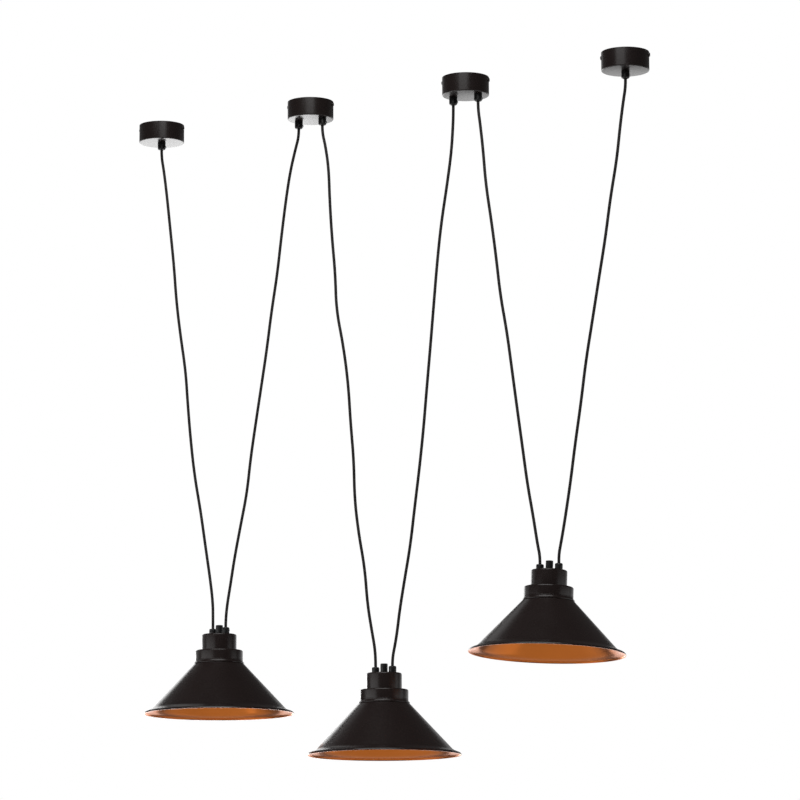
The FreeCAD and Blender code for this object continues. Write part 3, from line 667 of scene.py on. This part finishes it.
def centre_cap(lamp):
    """Cap between the two grips, closed on top and hollow below."""
    radius, hole = CAP_DIAMETER / 2, CAP_HOLE / 2
    lamp_piece(f"centre_cap_{lamp}", rounded([
        (0, CAP_TOP), (radius, CAP_TOP, CAP_BEND), (radius, UPPER_TOP, EDGE_BEND),
        (hole, UPPER_TOP), (hole, CAP_HOLE_TOP), (0, CAP_HOLE_TOP)]),
        lamp, ["black_plastic"], columns=64)


def screw_shell(lamp):
    """Threaded brass screw shell with a flange at its top, and the contact in its middle."""
    node = f"lampholder_contacts_{lamp}"
    outer, flange = SCREW_SHELL_DIAMETER / 2, FLANGE_BORE / 2
    top, bottom = SCREW_SHELL_TOP, SCREW_SHELL_BOTTOM
    profile = np.concatenate([
        [(flange, top - FLANGE_WALL), (flange, top), (outer - FLANGE_WALL, top)],
        sleeve(outer, SCREW_SHELL_BORE / 2, top - SCREW_SHELL_SHOULDER, bottom, rows=90)])
    pitch, depth, fade = SCREW_SHELL_THREAD
    lamp_piece(node, profile, lamp, ["brass"], suffix="screw_shell", columns=96,
               ripple=thread(top - fade, bottom, pitch, depth, fade))
    lamp_piece(node, rounded(CENTRE_CONTACT), lamp, ["brass"], suffix="centre_contact", columns=48)


def skirt_thread(lamp):
    """Thread on the lampholder's skirt below the shade ring: a thin threaded sleeve."""
    outer = SKIRT_DIAMETER / 2
    ends = SKIRT_THREAD_TOP, SKIRT_THREAD_BOTTOM
    threaded = turned(f"skirt_thread_{lamp}", sleeve(outer, outer - SKIRT_WALL, *ends, rows=80),
                      on_lamp(lamp), f"lamp_{lamp}", ["black_plastic"], columns=96,
                      ripple=thread(*ends, *SKIRT_THREAD))


# Cords

def free_cord(node):
    """One smooth curve over the cord's control points, from the canopy's grip to the lamp's."""
    curve = bpy.data.curves.new(f"{node}_curve", "CURVE")
    curve.dimensions = "3D"
    curve.bevel_depth = CORD_DIAMETER / 2
    curve.bevel_resolution = 5
    curve.resolution_u = 10
    curve.use_fill_caps = True
    points = CORDS[node]
    spline = curve.splines.new("NURBS")
    spline.points.add(len(points) - 1)
    for point, place in zip(spline.points, points):
        point.co = (*place, 1)
    spline.order_u = 3
    spline.use_endpoint_u = True
    curve.materials.append(FINISHES["cord_jacket"])
    cord = bpy.data.objects.new(f"{node}_flex", curve)
    bpy.context.collection.objects.link(cord)
    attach(cord, f"cords_{node[-1]}")
    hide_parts(node)


# Pieces that keep their CAD shape

def finish_kept_nodes():
    """Gives each CAD node that still shows the finish that its record slot names."""
    for node, piece in frame["nodes"].items():
        if not piece.hide_render:
            piece.data.materials.clear()
            piece.data.materials.append(FINISHES[frame_slot(node)])


# Camera, floor and light

CAMERA_PLACE = (3.9897, -5.5037, -1.6319)
CAMERA_YAW = math.radians(32.351)
CAMERA_PITCH = math.radians(9.472)
CAMERA_ROLL = math.radians(0.208)
CAMERA_LENS = 174.642
CAMERA_REACH = 50.0
SENSOR_WIDTH = 36.0


def camera():
    """Camera at the photograph's viewpoint: turned about Z by the yaw, pitched up, then rolled."""
    data = bpy.data.cameras.new("camera")
    data.sensor_width = SENSOR_WIDTH
    data.lens = CAMERA_LENS
    data.clip_end = CAMERA_REACH
    seen_from = bpy.data.objects.new("camera", data)
    turn = (Matrix.Rotation(CAMERA_YAW, 4, "Z") @ Matrix.Rotation(CAMERA_PITCH, 4, "X")
            @ Matrix.Rotation(CAMERA_ROLL, 4, "Y") @ Matrix.Rotation(math.pi / 2, 4, "X"))
    seen_from.matrix_world = Matrix.Translation(CAMERA_PLACE) @ turn
    bpy.context.collection.objects.link(seen_from)
    bpy.context.scene.camera = seen_from


# Directions as the camera sees the row, the row's middle, the lamps' height, and the floor
ACROSS = np.array([math.cos(CAMERA_YAW), math.sin(CAMERA_YAW), 0])
BEHIND = np.array([-math.sin(CAMERA_YAW), math.cos(CAMERA_YAW), 0])
ROW_MIDDLE = np.array([0.475, 0.0, 0.0])
LAMP_HEIGHT = -0.8
FLOOR_HEIGHT = -2.4
FLOOR_HALF_WIDTH = 6.0

# How bright the world is, 1 being white: the room all round, and the backdrop as light on the
# row and as gloss and glass mirror it. The backdrop comes in between two cosines of the angle to
# the line behind the row, and fades out between two sines of the height above the horizon.
ROOM_LIGHT = 0.07
BACKDROP_LIGHT = 1.0
BACKDROP_MIRRORED = 1.0
BACKDROP_SIDES = (0.15, 0.85)
BACKDROP_TOP = (0.03, 0.2)

# How white the floor looks to the camera under the row, how bright the painted pool of light that only reflections
# see glows there, and the distances from the row's middle between which the first rises to 1 and the second falls
# to 0
WHITE = (1, 1, 1, 1)
FLOOR_TONE = (0.8, 0.8, 0.8, 1)
FLOOR_WHITENESS = 0.7
FLOOR_WHITENESS_REACH = (1.2, 5.5)
POOL_LIGHT_GLOW = 0.26
POOL_REACH = (1.2, 2.2)

# Soft lights as the camera sees them: metres across from the row's middle and behind it, height,
# width, tallness, the way each faces, and how bright it looks (1 is white).
SOFT_LIGHTS = {
    "backdrop_glow": (-0.6, 2.0, -1.025, 1.0, 0.55, "middle", 4.7),
    "backdrop_above": (-0.6, 2.0, -0.475, 1.0, 0.55, "middle", 2.0),
    "backdrop_right": (0.55, 2.0, -0.5, 1.3, 0.5, "middle", 0.45),
    "backdrop_below": (-0.1, 2.0, -1.6, 2.0, 0.6, "middle", 1.1),
    "backdrop_high": (-0.95, 2.0, 0.8, 0.9, 0.9, "row", 0.4),
    "left": (-1.5, -0.6, -1.1, 1.9, 0.8, "middle", 1.25),
    "left_above": (-1.5, 0.9, -0.3, 0.9, 0.8, "middle", 0.38),
    "right": (1.5, -0.35, -1.1, 1.4, 0.8, "middle", 0.75),
    "front_above": (-0.5, -2.0, 1.9, 3.4, 2.5, "row", 2.6),
    "front_small": (-0.13, -1.23, 0.3, 0.9, 0.6, "middle", 1.05),
    "floor_left": (-1.3, 0.0, -2.3, 0.85, 1.2, "up", 0.45),
    "floor_right": (1.3, 0.6, -2.3, 0.85, 2.4, "up", 0.3),
}


def background_rays(shader):
    """1 for the camera's rays, and 1 for those in gloss and through glass."""
    path = shader.node("ShaderNodeLightPath", output=None)
    camera_ray, glossy_ray, transmission_ray = (
        Term(shader, path.outputs[ray])
        for ray in ("Is Camera Ray", "Is Glossy Ray", "Is Transmission Ray"))
    return camera_ray, glossy_ray.at_least(transmission_ray)


def studio():
    """White world to the camera. Light and reflections get a white backdrop behind the row,
    which fades above the lamps and round to the dim side behind the camera."""
    world = bpy.data.worlds.new("studio")
    bpy.context.scene.world = world
    shader = Shader(world)
    direction = shader.coordinates("Generated")
    towards = shader.node("ShaderNodeVectorMath", {"operation": "DOT_PRODUCT"},
                          {0: direction, 1: BEHIND.tolist()}, output=1)
    level = shader.node("ShaderNodeSeparateXYZ", inputs={0: direction}, output=2)
    round_the_row = shader.fade(towards, *BACKDROP_SIDES)
    below_the_top = shader.fade(level, *BACKDROP_TOP, first=1.0, last=0.0)
    camera_ray, mirrored_ray = background_rays(shader)
    glow = BACKDROP_LIGHT + mirrored_ray * (BACKDROP_MIRRORED - BACKDROP_LIGHT)
    dim = ROOM_LIGHT + round_the_row * below_the_top * glow
    strength = dim + camera_ray * (1 - dim)
    light = shader.node("ShaderNodeBackground", inputs={"Color": WHITE, "Strength": strength})
    shader.node("ShaderNodeOutputWorld", inputs={"Surface": light}, output=None)


def floor():
    """Pale floor that keeps the lamps' shadow and fades to white towards its edges. Reflections
    show a painted pool of light glowing white under the row, and from below it is clear."""
    material, shader = surface("pale_floor")
    camera_ray, mirrored_ray = background_rays(shader)
    from_middle = shader.node("ShaderNodeVectorMath", {"operation": "DISTANCE"},
                              {0: shader.coordinates(), 1: (*ROW_MIDDLE[:2], FLOOR_HEIGHT)},
                              output=1)
    # Painted pool of light: a white glow under the row that only reflections see
    pool = shader.fade(from_middle, *POOL_REACH, first=POOL_LIGHT_GLOW, last=0.0)
    whiteness = shader.fade(from_middle, *FLOOR_WHITENESS_REACH, first=FLOOR_WHITENESS)
    white_share = (whiteness * camera_ray).at_least(pool * mirrored_ray)
    pale = shader.node("ShaderNodeBsdfDiffuse", inputs={"Color": FLOOR_TONE})
    white = shader.node("ShaderNodeEmission", inputs={"Color": WHITE, "Strength": 1.0})
    top = shader.node("ShaderNodeMixShader", inputs={0: white_share, 1: pale, 2: white})
    underside = shader.node("ShaderNodeNewGeometry", output="Backfacing")
    clear = shader.node("ShaderNodeBsdfTransparent")
    both = shader.node("ShaderNodeMixShader", inputs={0: underside, 1: top, 2: clear})
    shader.node("ShaderNodeOutputMaterial", inputs={"Surface": both}, output=None)
    corners = FLOOR_HALF_WIDTH * np.array([(-1, -1, 0), (1, -1, 0), (1, 1, 0), (-1, 1, 0)])
    corners = corners + np.array([0, 0, FLOOR_HEIGHT])
    mesh = bpy.data.meshes.new("floor")
    mesh.from_pydata(corners.tolist(), [], [(0, 1, 2, 3)])
    mesh.materials.append(material)
    ground = bpy.data.objects.new("floor", mesh)
    bpy.context.collection.objects.link(ground)


def soft_light(name):
    """Area light that no camera sees. Its power makes it look as bright as the table says: a
    square metre that sends out pi watts looks as bright as white."""
    across, behind, height, width, tall, faces, brightness = SOFT_LIGHTS[name]
    data = bpy.data.lights.new(name, "AREA")
    data.shape = "RECTANGLE"
    data.size = width
    data.size_y = tall
    data.energy = math.pi * width * tall * brightness
    light = bpy.data.objects.new(name, data)
    from_middle = ACROSS * across + BEHIND * behind
    light.location = ROW_MIDDLE + from_middle + np.array([0, 0, height])
    if faces == "up":
        light.rotation_euler = (math.pi, 0, CAMERA_YAW)
    else:
        if faces == "row":
            from_middle = from_middle + np.array([0, 0, height - LAMP_HEIGHT])
        light.rotation_euler = Vector(from_middle).to_track_quat("Z", "Y").to_euler()
    light.visible_camera = False
    bpy.context.collection.objects.link(light)


for number in range(1, len(CANOPIES) + 1):
    canopy_cup(number)
    canopy_grips(number)
for lamp in LAMPS:
    for make in (shade, shade_washer, housings, lamp_grips, centre_cap, screw_shell, skirt_thread):
        make(lamp)
for node in CORDS:
    free_cord(node)
finish_kept_nodes()

camera()
studio()
floor()
for name in SOFT_LIGHTS:
    soft_light(name)

bpy.context.scene.view_settings.view_transform = "Standard"
